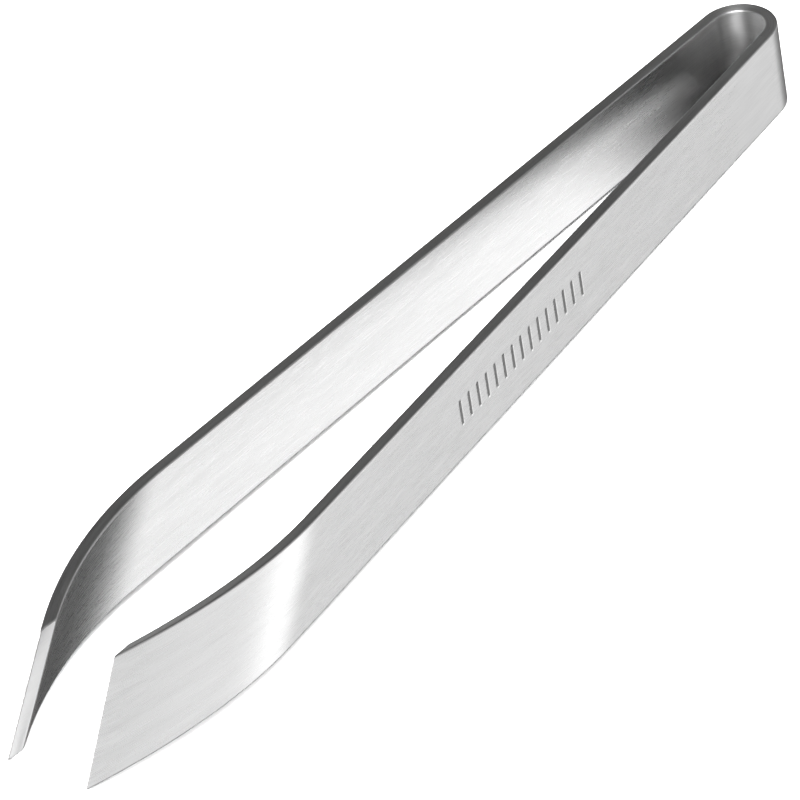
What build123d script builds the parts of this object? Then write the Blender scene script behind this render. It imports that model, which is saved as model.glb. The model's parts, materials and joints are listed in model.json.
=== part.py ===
"""Slant tweezers: one strip of spring steel, bent into a bow, two arms and two slanted tips.

Millimetres and degrees. The left side is drawn first, in a working frame whose origin is the
centre of the bow, with +X towards the tips and +Z up across the strip. The right side is its
mirror image. At the end everything is pitched a little, so that the tweezers stand on the heel
of the bow and the lowest corners of the tips.

The steel only bends. It is divided where it bends most: across the roots of the arms and again
a third of the way along them. Each division is a round nose in a round socket, centred on the
middle of the sheet.
"""
import os
from math import atan2, cos, degrees, radians, sin

from build123d import *

# ---- The strip ----
THICKNESS = 1.0
WIDTH = 7.37  # up to where the steel first flexes
WIDENING = 0.0103  # extra width for each millimetre beyond
EDGE_RADIUS = 0.15

# ---- The bow and the arms ----
BOW_RADIUS = 2.7  # to the middle of the sheet
ARM_ANGLE = 3.75  # between each arm and the middle plane

# ---- The slanted tips ----
SLANT = 34.8  # between the tip's edge and the strip's width
BEND_START = 57.0  # across the slant, from the root of the arm
BEND_RADIUS = 25.0
TIP_LENGTH = 18.5  # along the bend, before the tip is ground
BEND_STATIONS = 6

# ---- Where the steel flexes ----
ROOT_FLEX = 8.0  # from the root of the arm
MID_FLEX = 27.0
ROOT_SQUEEZE = 1.77  # the turns that close the tips
MID_SQUEEZE = 0.95
KNUCKLE_CLEARANCE = 0.03
CLOSED_GAP = 0.01  # from each tip to the middle plane when squeezed shut

# ---- The engraved mark, a plain row of strokes on the left arm ----
MARK_CENTRE = 38.6  # from the root of the arm
MARK_PITCH = 1.25
MARK_STROKES = 15
STROKE_LENGTH = 2.2
STROKE_WIDTH = 0.3
STROKE_DEPTH = 0.08

REACH = 40.0  # a tool body larger than the strip in every direction it cuts

# ---- Directions of the left arm ----
UP = Vector(0, 0, 1)
ALONG = Vector(cos(radians(ARM_ANGLE)), sin(radians(ARM_ANGLE)), 0)
OUTWARD = UP.cross(ALONG)
ROOT = OUTWARD * BOW_RADIUS

# The tip bends about lines parallel to its slanted edge. RULING runs down along them, and
# ACROSS runs over them towards the tip.
COS_SLANT = cos(radians(SLANT))
SIN_SLANT = sin(radians(SLANT))
RULING = ALONG * SIN_SLANT - UP * COS_SLANT
ACROSS = ALONG * COS_SLANT + UP * SIN_SLANT


def half_width(distance):
    """Return half the strip's width at a distance from the root of the arm."""
    return (WIDTH + WIDENING * (distance - ROOT_FLEX)) / 2


def flat_stretch(start, end):
    """Return a straight stretch of the arm, between two distances from its root."""
    at_start = half_width(start)
    at_end = half_width(end)
    with BuildPart() as stretch:
        with BuildSketch(Plane(origin=ROOT, x_dir=ALONG, z_dir=OUTWARD)):
            Polygon((start, -at_start), (end, -at_end), (end, at_end), (start, at_start), align=None)
        extrude(amount=THICKNESS / 2, both=True)
        fillet(stretch.edges().sort_by(SortBy.LENGTH)[-4:], EDGE_RADIUS)
    return stretch.part


def slanted_section(across):
    """Return the strip's section along one of the slanted lines that the tip bends about."""
    half_root = half_width(0)
    half_widening = WIDENING / 2
    top = (across - half_root * SIN_SLANT) / (COS_SLANT + half_widening * SIN_SLANT)
    bottom = (across + half_root * SIN_SLANT) / (COS_SLANT - half_widening * SIN_SLANT)
    ruling_top = top * SIN_SLANT - (half_root + half_widening * top) * COS_SLANT
    ruling_bottom = bottom * SIN_SLANT + (half_root + half_widening * bottom) * COS_SLANT

    straight = min(across, BEND_START)
    turn = (across - straight) / BEND_RADIUS
    origin = (
        ROOT
        + ACROSS * (straight + BEND_RADIUS * sin(turn))
        - OUTWARD * (BEND_RADIUS * (1 - cos(turn)))
        + RULING * ((ruling_top + ruling_bottom) / 2)
    )
    heading = ACROSS * cos(turn) - OUTWARD * sin(turn)
    with BuildSketch(Plane(origin=origin, x_dir=RULING, z_dir=heading)) as section:
        RectangleRounded(ruling_bottom - ruling_top, THICKNESS, EDGE_RADIUS)
    return section.sketch


def nose_outline(distance):
    """Return the plan outline of everything beyond a flex line, rounded about that line."""
    with BuildSketch(Plane(origin=ROOT + ALONG * distance, x_dir=ALONG, z_dir=UP)) as outline:
        Circle(THICKNESS / 2)
        Rectangle(2 * REACH, REACH, align=(Align.MIN, Align.CENTER))
    return outline.sketch


def socket_outline(distance):
    """Return the plan outline of the hollow that a nose turns in."""
    with BuildSketch(Plane(origin=ROOT + ALONG * distance, x_dir=ALONG, z_dir=UP)) as outline:
        Circle(THICKNESS / 2 + KNUCKLE_CLEARANCE)
    return outline.sketch


def turn_about_flex(distance, angle):
    """Return the movement that turns things about a flex line."""
    pivot = ROOT + ALONG * distance
    return Pos(pivot) * Rot(0, 0, angle) * Pos(-pivot)


# ---- The bow, with the roots of both arms ----
with BuildSketch(Plane(origin=ROOT, x_dir=-UP, z_dir=ALONG)) as root_section:
    RectangleRounded(WIDTH, THICKNESS, EDGE_RADIUS)

with BuildPart() as left_root:
    extrude(root_section.sketch, amount=ROOT_FLEX)
    extrude(socket_outline(ROOT_FLEX), amount=REACH, both=True, mode=Mode.SUBTRACT)

with BuildPart() as bow:
    revolve(root_section.sketch, axis=Axis.Z, revolution_arc=180 - 2 * ARM_ANGLE)
    add(left_root.part)
    mirror(left_root.part, about=Plane.XZ)

# ---- The springy part of the left arm ----
with BuildPart() as left_shank:
    add(flat_stretch(ROOT_FLEX - THICKNESS, MID_FLEX))
    extrude(nose_outline(ROOT_FLEX), amount=REACH, both=True, mode=Mode.INTERSECT)
    extrude(socket_outline(MID_FLEX), amount=REACH, both=True, mode=Mode.SUBTRACT)

# ---- The part of the left arm held between finger and thumb, with the mark ----
with BuildPart() as left_grip:
    add(flat_stretch(MID_FLEX - THICKNESS, (BEND_START + WIDTH) / COS_SLANT))
    extrude(nose_outline(MID_FLEX), amount=REACH, both=True, mode=Mode.INTERSECT)
    split(bisect_by=Plane(origin=ROOT + ACROSS * BEND_START, z_dir=ACROSS), keep=Keep.BOTTOM)
right_grip = mirror(left_grip.part, about=Plane.XZ)

with BuildPart() as marked_grip:
    add(left_grip.part)
    with BuildSketch(Plane(origin=ROOT + OUTWARD * THICKNESS / 2, x_dir=ALONG, z_dir=OUTWARD)):
        with Locations((MARK_CENTRE, 0)):
            with GridLocations(MARK_PITCH, 0, MARK_STROKES, 1):
                SlotOverall(STROKE_LENGTH, STROKE_WIDTH, rotation=90)
    extrude(amount=-STROKE_DEPTH, mode=Mode.SUBTRACT)

# ---- The left tip, bent inwards and ground flat where it meets the right one ----
opening_turn = turn_about_flex(MID_FLEX, MID_SQUEEZE) * turn_about_flex(ROOT_FLEX, ROOT_SQUEEZE)
with BuildPart() as left_tip:
    loft(
        [
            slanted_section(BEND_START + TIP_LENGTH * station / BEND_STATIONS)
            for station in range(BEND_STATIONS + 1)
        ]
    )
    with Locations(opening_turn * Pos(0, CLOSED_GAP, 0)):
        Box(
            3 * REACH,
            REACH,
            REACH,
            align=(Align.MIN, Align.MAX, Align.CENTER),
            mode=Mode.SUBTRACT,
        )

pieces = {
    "bow": bow.part,
    "left_shank": left_shank.part,
    "left_grip": marked_grip.part,
    "left_tip": left_tip.part,
    "right_shank": mirror(left_shank.part, about=Plane.XZ),
    "right_grip": right_grip,
    "right_tip": mirror(left_tip.part, about=Plane.XZ),
}

# ---- Stand the tweezers on the heel of the bow and the lowest corners of the tips ----
heel = Vector(-(BOW_RADIUS + THICKNESS / 2), 0, -WIDTH / 2)
toe = left_tip.part.vertices().sort_by(Axis.Z)[0].center()
pitch = degrees(atan2(heel.Z - toe.Z, toe.X - heel.X))
level = Rot(0, -pitch, 0)
bounds = Compound(children=[level * piece for piece in pieces.values()]).bounding_box()
stand = Pos(-bounds.center().X, 0, -bounds.min.Z) * level

os.makedirs("parts", exist_ok=True)
for name, piece in pieces.items():
    placed = stand * piece
    placed.label = name
    export_step(placed, f"parts/{name}.step")
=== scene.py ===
"""Slant tweezers in brushed stainless steel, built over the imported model.

Lengths are in metres, and angles in degrees unless a comment says radians. The real tweezers
are one strip of sheet steel, so every piece here is a stretch of the same strip. A point of the
strip is given by its place on the flat blank: its distance along the arm from the bow, its
height across the strip, and its depth through the sheet, measured outwards from the middle.
place() folds the blank into shape. Everything is worked out for the left arm and mirrored.
"""
import json
import math

import bpy
import numpy as np
from mathutils import Matrix, Vector


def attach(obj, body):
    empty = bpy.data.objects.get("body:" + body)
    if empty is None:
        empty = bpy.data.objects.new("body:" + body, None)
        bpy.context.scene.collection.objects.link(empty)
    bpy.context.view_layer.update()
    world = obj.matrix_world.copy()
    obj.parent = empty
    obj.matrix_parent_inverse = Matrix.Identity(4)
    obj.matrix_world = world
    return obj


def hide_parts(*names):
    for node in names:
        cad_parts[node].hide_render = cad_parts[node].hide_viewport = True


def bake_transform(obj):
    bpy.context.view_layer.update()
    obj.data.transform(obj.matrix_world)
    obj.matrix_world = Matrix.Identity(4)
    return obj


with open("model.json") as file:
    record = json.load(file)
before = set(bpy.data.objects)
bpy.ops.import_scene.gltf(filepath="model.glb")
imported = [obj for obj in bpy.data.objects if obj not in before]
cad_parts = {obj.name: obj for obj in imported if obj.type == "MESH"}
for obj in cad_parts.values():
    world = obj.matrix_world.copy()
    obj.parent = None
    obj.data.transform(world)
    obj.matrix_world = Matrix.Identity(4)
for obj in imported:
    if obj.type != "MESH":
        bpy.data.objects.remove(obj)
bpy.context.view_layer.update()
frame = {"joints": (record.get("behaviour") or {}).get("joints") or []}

# ---- The strip, as in the CAD model ----
THICKNESS = 0.0010
WIDTH = 0.00737  # up to the root flex
WIDENING = 0.0103  # extra width for each metre beyond it
EDGE_RADIUS = 0.00015
BOW_RADIUS = 0.0027  # to the middle of the sheet
ARM_ANGLE = 3.75  # between each arm and the middle plane
SLANT = math.radians(34.8)  # radians, between the tip's edge and the strip's width
BEND_START = 0.0570  # across the slant, from the root of the arm
BEND_RADIUS = 0.0250
ROOT_FLEX = 0.0080  # from the root of the arm
ROOT_SQUEEZE = 1.77  # the turns that close the tips
MID_SQUEEZE = 0.95
CLOSED_GAP = 0.00001  # from each tip to the middle plane when squeezed shut

# ---- Where one piece ends and the next begins, along the arm ----
BOW_END = 0.0005
SHANK_END = 0.0160
GRIP_END = 0.0620

# ---- The rings of the mesh ----
RING_STEP = 0.0008
BOW_RINGS = 33  # from the root of an arm to the crown of the bow
TIP_RINGS = 28  # from the start of the tip's bend to the land
SLANT_START = 0.0480  # from here on the rings turn towards the slant
SLANT_ROUNDS = 4  # for a slanted ring to settle on the widening edges

# ---- The engraved mark, a plain row of strokes ----
MARK_CENTRE = 0.0386
MARK_PITCH = 0.00125
MARK_STROKES = 15
FIRST_STROKE = MARK_CENTRE - MARK_PITCH * (MARK_STROKES - 1) / 2
STROKE_LENGTH = 0.0022
STROKE_WIDTH = 0.00030
STROKE_DEPTH = 0.00006
STROKE_REACH = 1.25  # half widths from a stroke's middle line to the top of its sloping sides
# The rings of the mesh to each side of a stroke's middle line.
STROKE_RINGS = np.array([0, 0.00006, 0.00010, 0.00013, 0.00016, 0.00020, 0.00026])

# ---- The land, ground flat on the middle plane with the tips squeezed together ----
LAND_ROUNDING = 0.00008
OUTER_ROUNDING = {"left": 0.00003, "right": 0.00014}  # where the land meets the outer face
LAND_STEPS = 5  # round that rounding
LAND_SUPPORT = 0.00004  # from the rounding back to the ring before it
LAND_SEARCH = (0.072, 0.098)  # the land lies between these distances along the arm
LAND_HALVINGS = 30

# ---- The directions of the left arm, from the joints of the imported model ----
joints = {joint["name"]: joint for joint in frame["joints"]}
left_root_flex = Vector(joints["left_root_flex"]["pos_m"])
left_mid_flex = Vector(joints["left_mid_flex"]["pos_m"])
UP = Vector(joints["right_root_flex"]["axis"]).normalized()
ALONG = (left_mid_flex - left_root_flex).normalized()
OUTWARD = UP.cross(ALONG)
ROOT = left_root_flex - ALONG * ROOT_FLEX
BOW_CENTRE = ROOT - OUTWARD * BOW_RADIUS
ACROSS = ALONG * math.cos(SLANT) + UP * math.sin(SLANT)
RULING = ALONG * math.sin(SLANT) - UP * math.cos(SLANT)
CROWN = -BOW_RADIUS * math.radians(90 - ARM_ANGLE)  # the distance along, halfway round the bow
MIRROR = np.array([1, -1, 1])  # from one arm to the other


def half_width(along):
    """Return half the width of the strip at a distance along the arm."""
    return (WIDTH + WIDENING * np.maximum(along - ROOT_FLEX, 0)) / 2


def place(along, up, outward):
    """Fold points of the left half of the flat blank into shape."""
    along, up, outward = (np.asarray(value, float)[..., None] for value in (along, up, outward))
    across = along * math.cos(SLANT) + up * math.sin(SLANT)
    ruling = along * math.sin(SLANT) - up * math.cos(SLANT)
    straight = np.minimum(across, BEND_START)
    turn = (across - straight) / BEND_RADIUS
    on_arm = (
        np.array(ROOT)
        + (straight + BEND_RADIUS * np.sin(turn)) * np.array(ACROSS)
        - BEND_RADIUS * (1 - np.cos(turn)) * np.array(OUTWARD)
        + ruling * np.array(RULING)
        + outward * (np.cos(turn) * np.array(OUTWARD) + np.sin(turn) * np.array(ACROSS))
    )
    bow_turn = -np.minimum(along, 0) / BOW_RADIUS
    radial = np.cos(bow_turn) * np.array(OUTWARD) - np.sin(bow_turn) * np.array(ALONG)
    on_bow = np.array(BOW_CENTRE) + (BOW_RADIUS + outward) * radial + up * np.array(UP)
    return np.where(along < 0, on_bow, on_arm)


# ---- The outline of the strip's section ----
# Each point holds how its height and depth grow with the section, then what is added to each.
CORNER_STEPS = 5
SUPPORT = 0.00006  # between a rounded corner and the nearest line of the flat face
MARK_BAND = np.linspace(-0.00135, 0.00135, 37)  # heights of the lines that carry the mark
OUTER_LINE = 0.7  # on each side of that band, as a share of the flat face's half height
INNER_LINES = (0.7, 0.35, 0, -0.35, -0.7)


def corner(height_sign, depth_sign, first):
    """Return the points of a rounded corner, a quarter turn from its first angle."""
    points = []
    for step in range(CORNER_STEPS + 1):
        angle = math.radians(first + 90 * step / CORNER_STEPS)
        added = (EDGE_RADIUS * math.sin(angle), EDGE_RADIUS * math.cos(angle))
        points.append((height_sign, depth_sign, *added))
    return points


def section_outline():
    """Return the ring of points round the section, from the bottom of the outer face."""
    outer_face = [
        (-1, 1, SUPPORT, EDGE_RADIUS),
        (-OUTER_LINE, 1, 0, EDGE_RADIUS),
        *((0, 1, height, EDGE_RADIUS) for height in MARK_BAND),
        (OUTER_LINE, 1, 0, EDGE_RADIUS),
        (1, 1, -SUPPORT, EDGE_RADIUS),
    ]
    top_edge = [(1, 1, EDGE_RADIUS, -SUPPORT), (1, -1, EDGE_RADIUS, SUPPORT)]
    inner_face = [
        (1, -1, -SUPPORT, -EDGE_RADIUS),
        *((height, -1, 0, -EDGE_RADIUS) for height in INNER_LINES),
        (-1, -1, SUPPORT, -EDGE_RADIUS),
    ]
    bottom_edge = [(-1, -1, -EDGE_RADIUS, SUPPORT), (-1, 1, -EDGE_RADIUS, -SUPPORT)]
    return np.array(
        outer_face
        + corner(1, 1, 0)
        + top_edge
        + corner(1, -1, 90)
        + inner_face
        + corner(-1, -1, 180)
        + bottom_edge
        + corner(-1, 1, 270)
    )


OUTLINE = section_outline()
IN_MARK_BAND = (OUTLINE[:, 0] == 0) & (OUTLINE[:, 1] == 1)
ON_EDGE = np.abs(OUTLINE[:, 3]) < EDGE_RADIUS


def ring_section(along, up_inset=0.0, outward_inset=0.0):
    """Return height and depth round the section where the strip is at each distance along."""
    up = OUTLINE[:, 0] * (half_width(along) - EDGE_RADIUS - up_inset) + OUTLINE[:, 2]
    outward = OUTLINE[:, 1] * (THICKNESS / 2 - EDGE_RADIUS - outward_inset) + OUTLINE[:, 3]
    return up, outward


def ring_lengths():
    """Return the distance round the section of each point of the outline, and of its end."""
    points = np.column_stack(ring_section(0.0))
    steps = np.linalg.norm(np.roll(points, -1, axis=0) - points, axis=1)
    return np.concatenate([[0], np.cumsum(steps)])


ROUND = ring_lengths()


def stroke_depth(along, up):
    """Return how deep the engraving is at points of the outer face."""
    nearest = np.clip(np.round((along - FIRST_STROKE) / MARK_PITCH), 0, MARK_STROKES - 1)
    sideways = along - (FIRST_STROKE + nearest * MARK_PITCH)
    beyond = np.maximum(np.abs(up) - (STROKE_LENGTH - STROKE_WIDTH) / 2, 0)
    inside = np.clip(STROKE_REACH - np.hypot(sideways, beyond) / (STROKE_WIDTH / 2), 0, 1)
    return STROKE_DEPTH * inside * inside * (3 - 2 * inside)


def is_in_mark(here, there, column):
    """Return whether the face after a column, between two distances along, lies in a stroke."""
    if not (IN_MARK_BAND[column] and IN_MARK_BAND[column + 1]):
        return False
    up = (OUTLINE[column][2] + OUTLINE[column + 1][2]) / 2
    return stroke_depth((here + there) / 2, up) > STROKE_DEPTH / 4


# ---- Rings: the points round the strip at one place, and the distance along of each ----
def ring_across(centre, marked=False):
    """Return a ring that is square to the arm up to SLANT_START and slanted from the bend on."""
    slant_from = BEND_START / math.cos(SLANT)
    lean = np.clip((centre - SLANT_START) / (slant_from - SLANT_START), 0, 1) * math.tan(SLANT)
    along = np.full(len(OUTLINE), float(centre))
    for _ in range(SLANT_ROUNDS):
        up, outward = ring_section(along)
        along = centre - lean * up
    if marked:
        outward = outward - IN_MARK_BAND * stroke_depth(along, up)
    return place(along, up, outward), along


def turn_about(point, angle):
    """Return the movement that turns the left arm outwards about a flex line."""
    turn = Matrix.Rotation(math.radians(angle), 4, UP)
    return Matrix.Translation(point) @ turn @ Matrix.Translation(-point)


opening = turn_about(left_mid_flex, MID_SQUEEZE) @ turn_about(left_root_flex, ROOT_SQUEEZE)
land_point = np.array(opening @ Vector((0, CLOSED_GAP, 0)))
land_normal = np.array(opening.to_3x3() @ Vector((0, 1, 0)))


def ring_to_land(angle, outer_rounding, before=0.0):
    """Return a ring on the rounding between the strip and its land.

    The angle round it, in radians, goes from 0 at the strip to a quarter turn at the land.
    """
    rounding = np.where(OUTLINE[:, 1] == 1, outer_rounding, LAND_ROUNDING)
    setback = rounding * (1 - math.sin(angle)) + before
    insets = (LAND_ROUNDING * (1 - math.cos(angle)), rounding * (1 - math.cos(angle)))
    low = np.full(len(OUTLINE), LAND_SEARCH[0])
    high = np.full(len(OUTLINE), LAND_SEARCH[1])
    for _ in range(LAND_HALVINGS):
        along = (low + high) / 2
        up, outward = ring_section(along, *insets)
        off = (place(along, up, outward) - land_point) @ land_normal - setback
        low = np.where(off > 0, along, low)
        high = np.where(off > 0, high, along)
    up, outward = ring_section(along, *insets)
    return place(along, up, outward), along


def spaced(first, last):
    """Return evenly spaced distances from first to last, at most a ring's step apart."""
    return np.linspace(first, last, int(math.ceil((last - first) / RING_STEP)) + 1)


def mark_stations():
    """Return the distances along the arm that follow each stroke's sides."""
    offsets = np.concatenate([-STROKE_RINGS[:0:-1], STROKE_RINGS])
    centres = FIRST_STROKE + MARK_PITCH * np.arange(MARK_STROKES)
    return (centres[:, None] + offsets[None, :]).ravel()


# ---- Meshes ----
UV_SCALE = 100  # the UV map is in centimetres
# The material slots of a piece.
FACE_SLOT, EDGE_AND_SHADE_SLOT, LAND_SLOT, MARK_SLOT = range(4)


def skin(name, rings, materials, right=False, land_from=None):
    """Make a piece from rings of the strip, and mirror it if it is on the right.

    The materials are for the strip's faces, its narrow edges, the land and the mark. The rings
    from land_from on round the strip off towards the land, which closes the last one.
    """
    count = len(OUTLINE)
    points = np.concatenate([ring[0] for ring in rings])
    if right:
        points = points * MIRROR
    faces = []
    uvs = []
    slots = []
    for row in range(len(rings) - 1):
        here, there = rings[row][1], rings[row + 1][1]
        for column in range(count):
            after = (column + 1) % count
            face = [
                (row * count + column, here[column], ROUND[column]),
                (row * count + after, here[after], ROUND[column + 1]),
                ((row + 1) * count + after, there[after], ROUND[column + 1]),
                ((row + 1) * count + column, there[column], ROUND[column]),
            ]
            if not right:
                face.reverse()
            faces.append([index for index, _, _ in face])
            uvs.extend((along * UV_SCALE, around * UV_SCALE) for _, along, around in face)
            # The rounding into the land takes the darker edge steel, whose tone is painted shade
            # for that rounding's dark border.
            on_rounding = land_from is not None and row >= land_from
            if on_rounding or ON_EDGE[column] or ON_EDGE[after]:
                slots.append(EDGE_AND_SHADE_SLOT)
            elif len(materials) > MARK_SLOT and is_in_mark(here[column], there[column], column):
                slots.append(MARK_SLOT)
            else:
                slots.append(FACE_SLOT)
    if land_from is not None:
        last = len(rings) - 1
        up, outward = ring_section(rings[last][1])
        order = list(range(count)) if right else list(reversed(range(count)))
        faces.append([last * count + column for column in order])
        uvs.extend((outward[column] * UV_SCALE, up[column] * UV_SCALE) for column in order)
        slots.append(LAND_SLOT)

    mesh = bpy.data.meshes.new(name)
    mesh.from_pydata(points.tolist(), [], faces)
    layer = mesh.uv_layers.new(name="strip")
    layer.data.foreach_set("uv", np.array(uvs).ravel())
    for material in materials:
        mesh.materials.append(material)
    mesh.polygons.foreach_set("material_index", slots)
    mesh.polygons.foreach_set("use_smooth", [True] * len(faces))
    mesh.update()
    piece = bpy.data.objects.new(name, mesh)
    bpy.context.scene.collection.objects.link(piece)
    return piece


# ---- Materials ----
ANISOTROPY = 0.6
ACROSS_THE_LINES = 0.25  # of a turn, for highlights that spread across the brushed lines
NOISE_SPREAD = (0.3, 0.7)  # most of a noise texture's values lie between these
FINE_DETAIL = 5
BROAD_DETAIL = 3
BROAD_LENGTH = 5  # how much longer and wider the broad streaks are than the fine ones
BROAD_WIDTH = 9
FINE_SHARE = 0.6  # of the tone, with the rest from the broad streaks
BROAD_SHARE = 0.4
RELIEF = 0.00002
# The steel is duller where it was bent into the bow.
BEND_ROUGHNESS = 0.10
BEND_FADE = (0.0, 0.008)  # distances along the arm


def map_range(nodes, start, end, low, high):
    """Add a node that takes values from start to end onto low to high."""
    change = nodes.new("ShaderNodeMapRange")
    change.inputs["From Min"].default_value = start
    change.inputs["From Max"].default_value = end
    change.inputs["To Min"].default_value = low
    change.inputs["To Max"].default_value = high
    return change


def brushed_steel(name, length_scale, width_scale, roughness, tones, bump):
    """Return steel with fine lines running along the first UV direction."""
    material = bpy.data.materials.new(name)
    material.use_nodes = True
    nodes = material.node_tree.nodes
    links = material.node_tree.links
    shader = nodes["Principled BSDF"]
    shader.inputs["Metallic"].default_value = 1.0
    shader.inputs["Anisotropic"].default_value = ANISOTROPY
    shader.inputs["Anisotropic Rotation"].default_value = ACROSS_THE_LINES

    uv = nodes.new("ShaderNodeUVMap")
    uv.uv_map = "strip"
    tangent = nodes.new("ShaderNodeTangent")
    tangent.direction_type = "UV_MAP"
    tangent.uv_map = "strip"
    links.new(tangent.outputs["Tangent"], shader.inputs["Tangent"])

    def streaks(along_scale, across_scale, detail):
        stretch = nodes.new("ShaderNodeMapping")
        stretch.inputs["Scale"].default_value = (along_scale, across_scale, 1)
        noise = nodes.new("ShaderNodeTexNoise")
        noise.inputs["Scale"].default_value = 1
        noise.inputs["Detail"].default_value = detail
        noise.inputs["Roughness"].default_value = 0.6
        links.new(uv.outputs["UV"], stretch.inputs["Vector"])
        links.new(stretch.outputs["Vector"], noise.inputs["Vector"])
        return noise.outputs["Fac"]

    def spread(value, low, high):
        change = map_range(nodes, *NOISE_SPREAD, low, high)
        links.new(value, change.inputs["Value"])
        return change.outputs["Result"]

    fine = streaks(length_scale, width_scale, FINE_DETAIL)
    broad = streaks(length_scale / BROAD_LENGTH, width_scale / BROAD_WIDTH, BROAD_DETAIL)

    distance = nodes.new("ShaderNodeSeparateXYZ")
    links.new(uv.outputs["UV"], distance.inputs["Vector"])
    bend = map_range(nodes, BEND_FADE[0] * UV_SCALE, BEND_FADE[1] * UV_SCALE, BEND_ROUGHNESS, 0)
    links.new(distance.outputs["X"], bend.inputs["Value"])
    dullness = nodes.new("ShaderNodeMath")
    links.new(spread(fine, *roughness), dullness.inputs[0])
    links.new(bend.outputs["Result"], dullness.inputs[1])
    links.new(dullness.outputs[0], shader.inputs["Roughness"])

    broad_part = nodes.new("ShaderNodeMath")
    broad_part.operation = "MULTIPLY"
    broad_part.inputs[1].default_value = BROAD_SHARE
    links.new(broad, broad_part.inputs[0])
    pattern = nodes.new("ShaderNodeMath")
    pattern.operation = "MULTIPLY_ADD"
    pattern.inputs[1].default_value = FINE_SHARE
    links.new(fine, pattern.inputs[0])
    links.new(broad_part.outputs[0], pattern.inputs[2])
    mix = nodes.new("ShaderNodeMix")
    mix.data_type = "RGBA"
    mix.inputs["A"].default_value = (tones[0], tones[0], tones[0], 1)
    mix.inputs["B"].default_value = (tones[1], tones[1], tones[1], 1)
    links.new(spread(pattern.outputs[0], 0, 1), mix.inputs["Factor"])
    links.new(mix.outputs["Result"], shader.inputs["Base Color"])

    relief = nodes.new("ShaderNodeBump")
    relief.inputs["Strength"].default_value = bump
    relief.inputs["Distance"].default_value = RELIEF
    links.new(fine, relief.inputs["Height"])
    links.new(relief.outputs["Normal"], shader.inputs["Normal"])
    return material


steel = brushed_steel("brushed_steel", 4, 110, (0.24, 0.33), (0.61, 0.75), 0.09)
# Rougher and darker than the faces, as sheared edges are; on the rounding into the land its darker
# tone is painted shade.
edge = brushed_steel("edge_steel_and_painted_shade", 3, 90, (0.38, 0.50), (0.44, 0.62), 0.25)
etched = brushed_steel("etched_steel", 20, 60, (0.5, 0.6), (0.20, 0.30), 0.2)
ground = brushed_steel("ground_steel", 2, 80, (0.24, 0.34), (0.86, 0.95), 0.1)

# ---- The bow ----
# Its rings run backwards from the left arm, so it is made mirrored to turn its faces outwards.
bow_left = [ring_across(along) for along in (BOW_END, BOW_END / 2)]
bow_left += [ring_across(along) for along in np.linspace(0, CROWN, BOW_RINGS)]
bow_right = [(points * MIRROR, 2 * CROWN - along) for points, along in reversed(bow_left[:-1])]
bow = skin("bow_spring", bow_left + bow_right, [steel, edge], right=True)
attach(bow, "bow")
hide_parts("bow")

# ---- The arms ----
shank_rings = [ring_across(along) for along in spaced(BOW_END, SHANK_END)]
plain_stations = spaced(SHANK_END, GRIP_END)
plain_rings = [ring_across(along) for along in plain_stations]
marked_rings = [
    ring_across(along, marked=True)
    for along in np.unique(np.round(np.concatenate([plain_stations, mark_stations()]), 6))
]

tip_start = BEND_START / math.cos(SLANT)
bend_rings = [ring_across(along) for along in spaced(GRIP_END, tip_start)]
land_rings = {
    side: [ring_to_land(0, rounding, before=LAND_SUPPORT)]
    + [
        ring_to_land(math.radians(90) * step / LAND_STEPS, rounding)
        for step in range(LAND_STEPS + 1)
    ]
    for side, rounding in OUTER_ROUNDING.items()
}
first_along = bend_rings[-1][1]
end_along = land_rings["right"][0][1]
for step in range(1, TIP_RINGS):
    tip_along = first_along + (end_along - first_along) * step / TIP_RINGS
    bend_rings.append((place(tip_along, *ring_section(tip_along)), tip_along))


def add_arm(side, is_right):
    """Add the springy stretch, the grip and the tip of one arm."""

    shank = skin(f"{side}_shank_spring", shank_rings, [steel, edge], right=is_right)
    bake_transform(shank)
    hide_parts(f"{side}_shank")

    grip_rings = plain_rings if is_right else marked_rings
    grip_materials = [steel, edge] if is_right else [steel, edge, ground, etched]
    grip = skin(f"{side}_grip_steel", grip_rings, grip_materials, right=is_right)
    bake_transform(grip)
    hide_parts(f"{side}_grip")

    tip_rings = bend_rings + land_rings[side]
    tip_materials = [steel, edge, ground]
    tip = skin(f"{side}_tip_steel", tip_rings, tip_materials, is_right, len(bend_rings))
    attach(tip, f"{side}_arm")
    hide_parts(f"{side}_tip")


add_arm("left", False)
add_arm("right", True)

# ---- The studio ----
FLOOR_HALF = 4.0
PAPER_TONE = 0.92
PAPER_ROUGHNESS = 0.9


def sheet(name, low, high, height, material):
    """Add a level rectangle of the studio between two corners."""
    corners = (low, (high[0], low[1]), high, (low[0], high[1]))
    mesh = bpy.data.meshes.new(name)
    mesh.from_pydata([(x, y, height) for x, y in corners], [], [(0, 1, 2, 3)])
    mesh.materials.append(material)
    rectangle = bpy.data.objects.new(name, mesh)
    bpy.context.scene.collection.objects.link(rectangle)
    return rectangle


def matt(name, tone, roughness):
    """Return a plain grey material for the studio."""
    material = bpy.data.materials.new(name)
    material.use_nodes = True
    shader = material.node_tree.nodes["Principled BSDF"]
    shader.inputs["Base Color"].default_value = (tone, tone, tone, 1)
    shader.inputs["Roughness"].default_value = roughness
    return material


paper = matt("paper", PAPER_TONE, PAPER_ROUGHNESS)
floor = sheet("floor", (-FLOOR_HALF, -FLOOR_HALF), (FLOOR_HALF, FLOOR_HALF), 0, paper)

# ---- The room ----
# The steel sees a bright side and a dark side of the room, and not the white floor.
floor.visible_glossy = False
world = bpy.data.worlds.new("studio")
world.use_nodes = True
room = world.node_tree
direction = room.nodes.new("ShaderNodeTexCoord")
ROOM_LIGHT = 2.5
ROOM_SHADE = 0.09
BACK_LIGHT = 0.90


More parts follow.
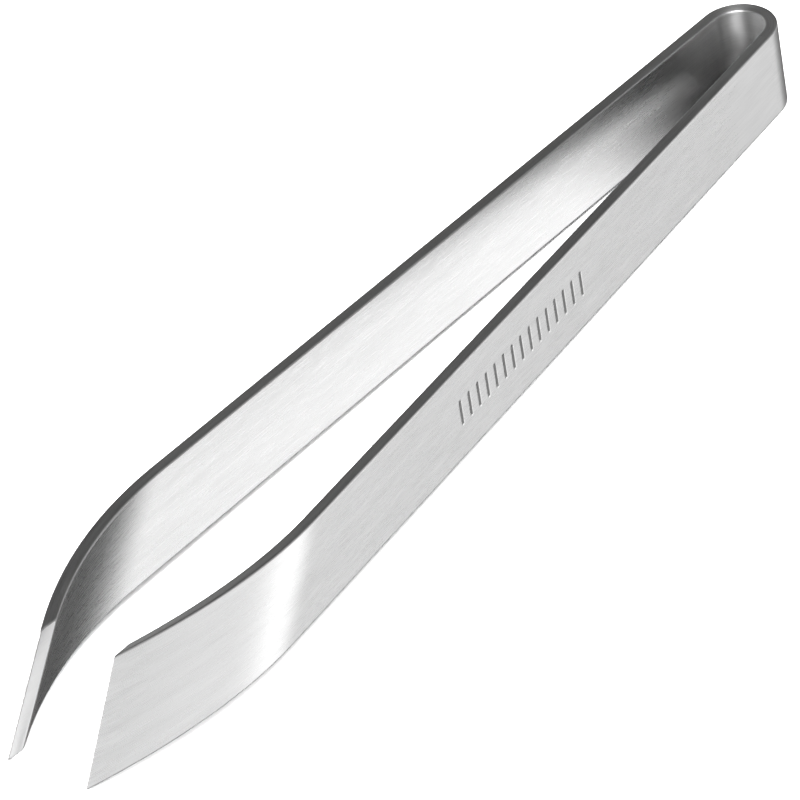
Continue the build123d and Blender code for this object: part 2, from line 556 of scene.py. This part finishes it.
def room_fade(axis, start, end, low, high):
    """Return a value that fades from low to high between two distances along an axis."""
    along_axis = room.nodes.new("ShaderNodeVectorMath")
    along_axis.operation = "DOT_PRODUCT"
    along_axis.inputs[1].default_value = axis
    fade = map_range(room.nodes, start, end, low, high)
    fade.interpolation_type = "SMOOTHSTEP"
    room.links.new(direction.outputs["Generated"], along_axis.inputs[0])
    room.links.new(along_axis.outputs["Value"], fade.inputs["Value"])
    return fade.outputs["Result"]


# The bright part of the room is above a slope that falls towards +Y.
brightness = room_fade((0, 1, 0.9), -0.21, 0.11, 0, ROOM_LIGHT)
for fade in (
    room_fade((0, 1, 0), -0.1, 0.3, 0, 1),  # none of it reaches the -Y side
    room_fade((0, 1, 0), 0.62, 0.77, 1, 0.44),  # it is weaker straight towards +Y
    room_fade((0, 0, 1), -0.3, 0.8, 1, 0),  # and weaker overhead
    room_fade((0, 0, 1), -0.68, -0.60, 0.2, 1),  # and far below
    room_fade((1, 0, 0), 0.35, 0.80, 1, 0),  # and beyond the tips
    room_fade((1, 0, 0), -0.78, -0.55, 0.6, 1),  # and beyond the bow
):
    product = room.nodes.new("ShaderNodeMath")
    product.operation = "MULTIPLY"
    room.links.new(brightness, product.inputs[0])
    room.links.new(fade, product.inputs[1])
    brightness = product.outputs[0]
# A weaker light towards -Y shows the outer face of the right arm.
all_light = room.nodes.new("ShaderNodeMath")
room.links.new(brightness, all_light.inputs[0])
room.links.new(room_fade((0, -1, -0.25), 0.52, 0.85, ROOM_SHADE, BACK_LIGHT), all_light.inputs[1])
room.links.new(all_light.outputs[0], room.nodes["Background"].inputs["Strength"])
room.nodes["Background"].inputs["Color"].default_value = (1, 1, 1, 1)
bpy.context.scene.world = world

# ---- The painted shade under the gap ----
# A dark card of painted shade: it stands for the shadowed floor under the narrow part of the gap,
# lies there, is seen only in the steel, and fades out at one end.
CARD_ENDS = (-0.0480, -0.026)
CARD_FADE = (-0.044, -0.027)
CARD_HALF = 0.0026
CARD_HEIGHT = -0.0005
GAP_SHADE_TONE = 0.03

# Painted shade: a near-black sheet for the shade in the narrow gap between the arms, seen only in
# the steel's reflections.
gap_shade = matt("painted_gap_shade", GAP_SHADE_TONE, 1)
gap_shade_place = gap_shade.node_tree.nodes.new("ShaderNodeTexCoord")
gap_shade_axes = gap_shade.node_tree.nodes.new("ShaderNodeSeparateXYZ")
gap_shade_fade = map_range(gap_shade.node_tree.nodes, *CARD_FADE, 1, 0)
gap_shade_fade.interpolation_type = "SMOOTHSTEP"
gap_shade.node_tree.links.new(gap_shade_place.outputs["Object"], gap_shade_axes.inputs["Vector"])
gap_shade.node_tree.links.new(gap_shade_axes.outputs["X"], gap_shade_fade.inputs["Value"])
gap_shade_alpha = gap_shade.node_tree.nodes["Principled BSDF"].inputs["Alpha"]
gap_shade.node_tree.links.new(gap_shade_fade.outputs["Result"], gap_shade_alpha)
shade_card = sheet("painted_shade_card", (CARD_ENDS[0], -CARD_HALF), (CARD_ENDS[1], CARD_HALF), CARD_HEIGHT, gap_shade)
shade_card.visible_camera = False
shade_card.visible_diffuse = False
shade_card.visible_shadow = False


# ---- The lights, each with its width and depth in metres and its power in watts ----
def soft_light(name, position, size, power):
    """Add a soft box that faces the tweezers."""
    data = bpy.data.lights.new(name, "AREA")
    data.shape = "RECTANGLE"
    data.size, data.size_y = size
    data.energy = power
    light = bpy.data.objects.new(name, data)
    light.location = position
    light.rotation_euler = (-Vector(position)).to_track_quat("-Z", "Y").to_euler()
    bpy.context.scene.collection.objects.link(light)
    return light


overhead = soft_light("overhead", (0.1, 0.1, 1.6), (1.6, 1.6), 90)
overhead.visible_glossy = False
soft_light("key", (0.92, 0.66, 0.5), (0.8, 0.4), 27)

# ---- The camera ----
CAMERA_POSITION = Vector((0.42246, 0.37581, 0.42218))
CAMERA_AIM = Vector((0.00189, -0.00035, 0.00272))
CAMERA_ROLL = -10.096
FOCAL_LENGTH = 418.1  # millimetres, as is the sensor's width
SENSOR_WIDTH = 36
NEAREST_SEEN = 0.01

camera_data = bpy.data.cameras.new("camera")
camera_data.lens = FOCAL_LENGTH
camera_data.sensor_width = SENSOR_WIDTH
camera_data.clip_start = NEAREST_SEEN
camera = bpy.data.objects.new("camera", camera_data)
facing = (CAMERA_AIM - CAMERA_POSITION).to_track_quat("-Z", "Y").to_matrix().to_4x4()
camera.matrix_world = (
    Matrix.Translation(CAMERA_POSITION)
    @ facing
    @ Matrix.Rotation(math.radians(CAMERA_ROLL), 4, "Z")
)
bpy.context.scene.collection.objects.link(camera)
bpy.context.scene.camera = camera
bpy.context.scene.view_settings.view_transform = "Standard"
